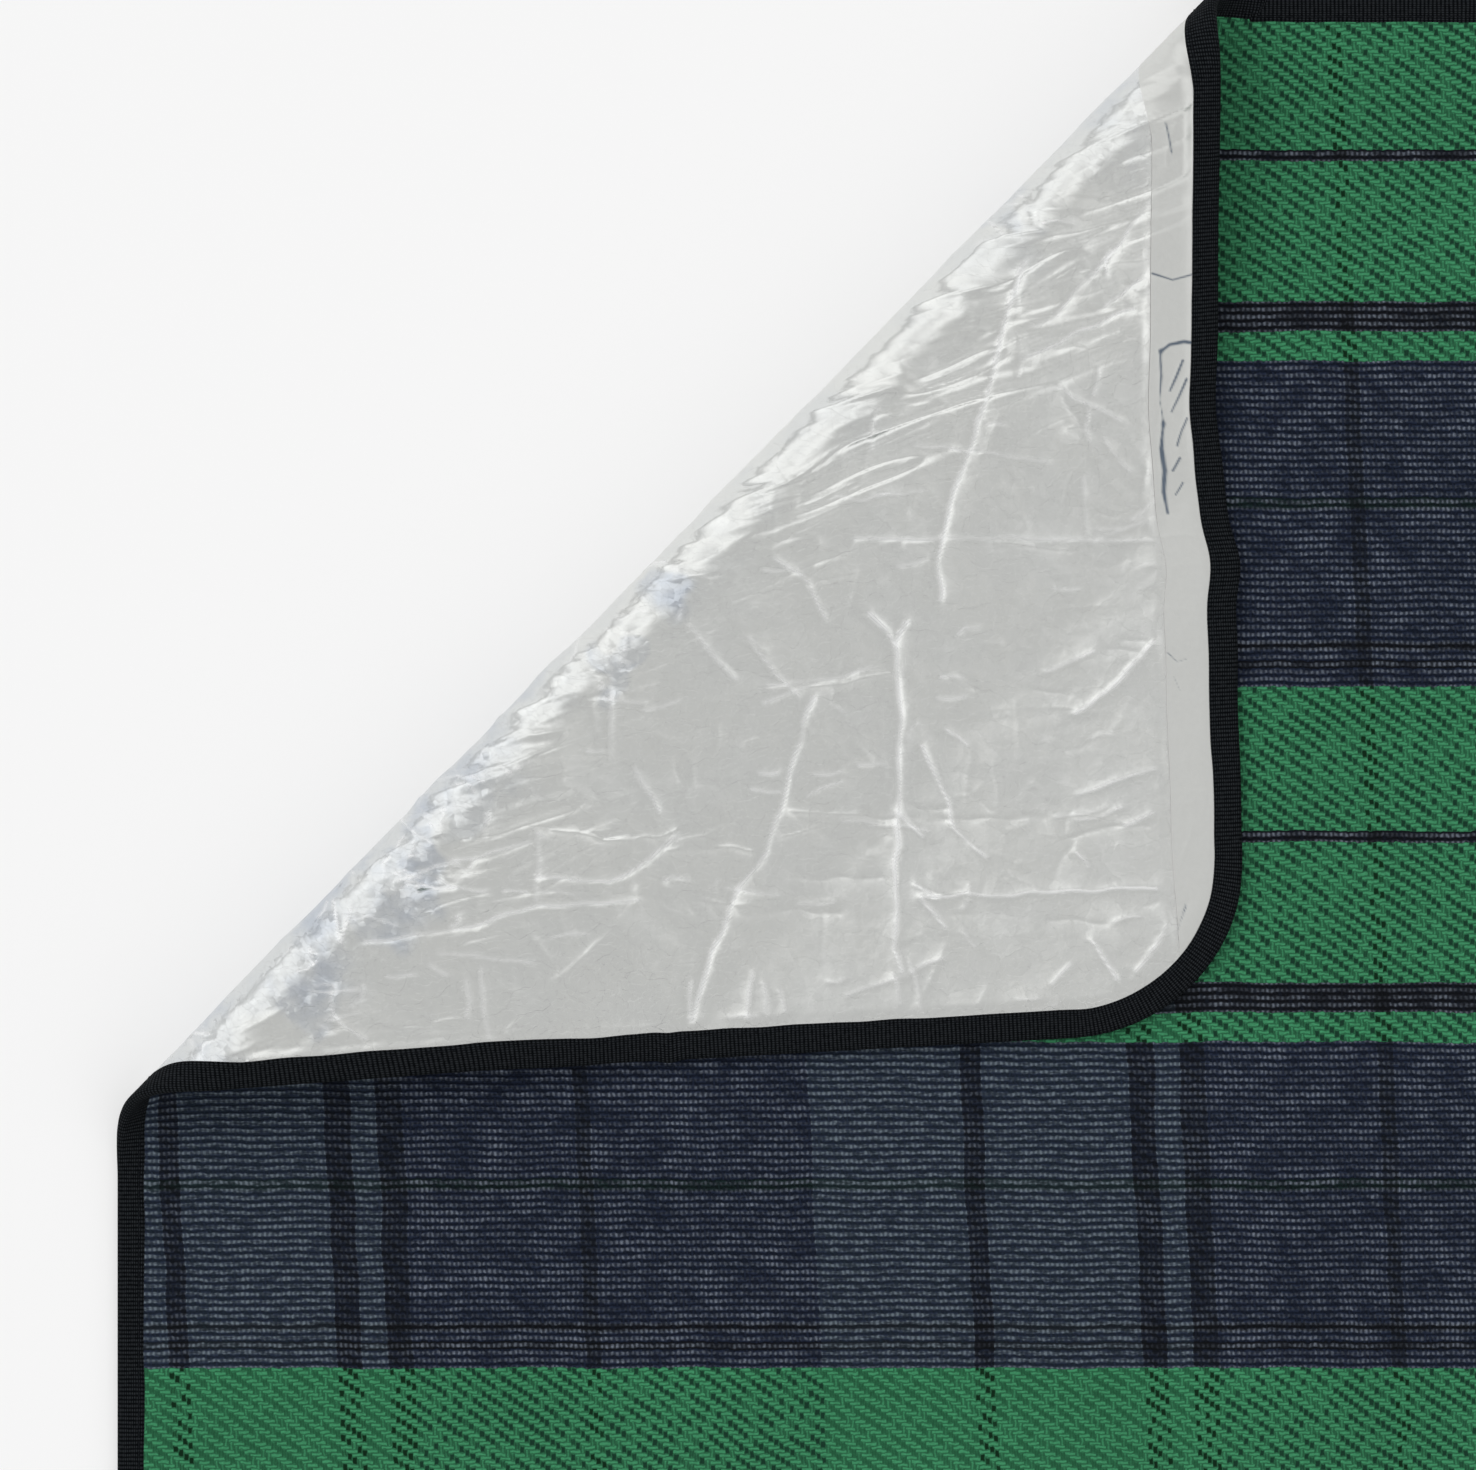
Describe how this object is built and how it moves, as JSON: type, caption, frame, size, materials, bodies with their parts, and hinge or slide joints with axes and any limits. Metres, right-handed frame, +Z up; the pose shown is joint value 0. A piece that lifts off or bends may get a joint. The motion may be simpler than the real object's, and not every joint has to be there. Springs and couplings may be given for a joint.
{
  "type": "picnic blanket",
  "caption": "Foil-backed tartan picnic blanket with a foam core and bound edges, lying flat with one corner folded over; it folds in three like a letter.",
  "frame": {"origin": "centre of the blanket's footprint, on the ground", "axes": "+X along the long side, +Y along the short side, +Z up; the folded corner is at -X, +Y"},
  "size_m": [1.5023, 1.3023, 0.0315],
  "materials": {
    "tartan": "loose two-and-two twill in green, navy and black stripes",
    "foam": "soft closed-cell foam",
    "foil": "bright crinkled film",
    "binding": "ribbed woven tape",
    "thread": "twisted polyester",
    "edge_strip": "smooth matt silver film"
  },
  "bodies": {
    "middle_panel": {"binding_tape_middle": "binding", "edge_strip_front_middle": "edge_strip", "edge_strip_rear_middle": "edge_strip", "foam_core_middle": "foam", "foil_film_middle": "foil", "seam_thread_middle": "thread", "tartan_cloth_middle": "tartan"},
    "left_panel": {"binding_tape_left": "binding", "edge_strip_front_left": "edge_strip", "edge_strip_rear_left": "edge_strip", "foam_core_left": "foam", "foil_film_left": "foil", "seam_thread_left": "thread", "tartan_cloth_left": "tartan"},
    "right_panel": {"binding_tape_right": "binding", "edge_strip_front_right": "edge_strip", "edge_strip_rear_right": "edge_strip", "foam_core_right": "foam", "foil_film_right": "foil", "seam_thread_right": "thread", "tartan_cloth_right": "tartan"},
    "roll_outer": {"binding_tape_roll_outer": "binding", "edge_strip_rear_roll_outer": "edge_strip", "foam_core_roll_outer": "foam", "foil_film_roll_outer": "foil", "seam_thread_roll_outer": "thread", "tartan_cloth_roll_outer": "tartan"},
    "roll_inner": {"binding_tape_roll_inner": "binding", "edge_strip_rear_roll_inner": "edge_strip", "foam_core_roll_inner": "foam", "foil_film_roll_inner": "foil", "seam_thread_roll_inner": "thread", "tartan_cloth_roll_inner": "tartan"},
    "ramp": {"binding_tape_ramp": "binding", "edge_strip_rear_ramp": "edge_strip", "foam_core_ramp": "foam", "foil_film_ramp": "foil", "seam_thread_ramp": "thread", "tartan_cloth_ramp": "tartan"},
    "corner_flap": {"binding_tape_corner_flap": "binding", "edge_strip_rear_corner_flap": "edge_strip", "foam_core_corner_flap": "foam", "foil_film_corner_flap": "foil", "seam_thread_corner_flap": "thread", "tartan_cloth_corner_flap": "tartan"}
  },
  "joints": [
    {"name": "left_fold", "type": "hinge", "parent": "middle_panel", "child": "left_panel", "pos_m": [-0.25, 0, 0.0182], "axis": [0, 1, 0], "range_deg": [0, 179.8]},
    {"name": "right_fold", "type": "hinge", "parent": "middle_panel", "child": "right_panel", "pos_m": [0.25, 0, 0.0224], "axis": [0, -1, 0], "range_deg": [0, 179.8]},
    {"name": "corner_unroll_1", "type": "hinge", "parent": "left_panel", "child": "roll_outer", "pos_m": [-0.56009, 0.46403, 0.0038], "axis": [-0.6997, -0.7145, 0], "range_deg": [0, 60]},
    {"name": "corner_unroll_2", "type": "hinge", "parent": "roll_outer", "child": "roll_inner", "pos_m": [-0.56502, 0.46886, 0.01575], "axis": [-0.6997, -0.7145, 0], "range_deg": [0, 66]},
    {"name": "corner_unroll_3", "type": "hinge", "parent": "roll_inner", "child": "ramp", "pos_m": [-0.55877, 0.46273, 0.0278], "axis": [-0.6997, -0.7145, 0], "range_deg": [0, 68]},
    {"name": "corner_lay_flat", "type": "hinge", "parent": "ramp", "child": "corner_flap", "pos_m": [-0.4908, 0.39617, 0.008], "axis": [-0.6997, -0.7145, 0], "range_deg": [-14, 0]}
  ],
  "couplings": [
    {"joint": "corner_unroll_2", "follows": "corner_unroll_1", "ratio": 1.1},
    {"joint": "corner_unroll_3", "follows": "corner_unroll_1", "ratio": 1.1333},
    {"joint": "corner_lay_flat", "follows": "corner_unroll_1", "ratio": -0.23333}
  ]
}
